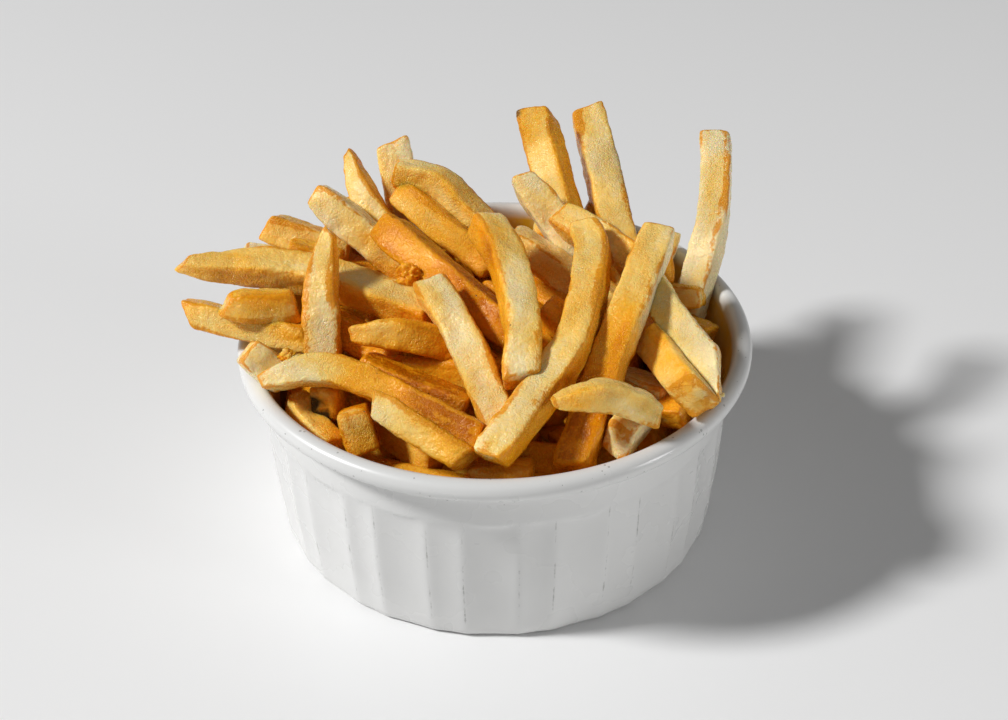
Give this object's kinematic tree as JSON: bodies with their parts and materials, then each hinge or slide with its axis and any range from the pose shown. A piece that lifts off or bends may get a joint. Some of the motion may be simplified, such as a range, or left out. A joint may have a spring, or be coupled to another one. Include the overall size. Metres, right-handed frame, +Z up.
{
  "type": "bowl of french fries",
  "caption": "Round fluted ramekin with a rolled rim, heaped with french fries that lean out over the rim.",
  "frame": {"origin": "centre of the ramekin's flat foot, on the surface it stands on", "axes": "+Z up, the round ramekin's own axis; -Y is the front of the heap, +X its right side as seen from the front"},
  "size_m": [0.1481, 0.1402, 0.0872],
  "materials": {
    "glaze": "gloss",
    "fried_potato": "satin"
  },
  "bodies": {
    "root": {"ramekin": "glaze", "fries": "fried_potato"}
  },
  "joints": []
}
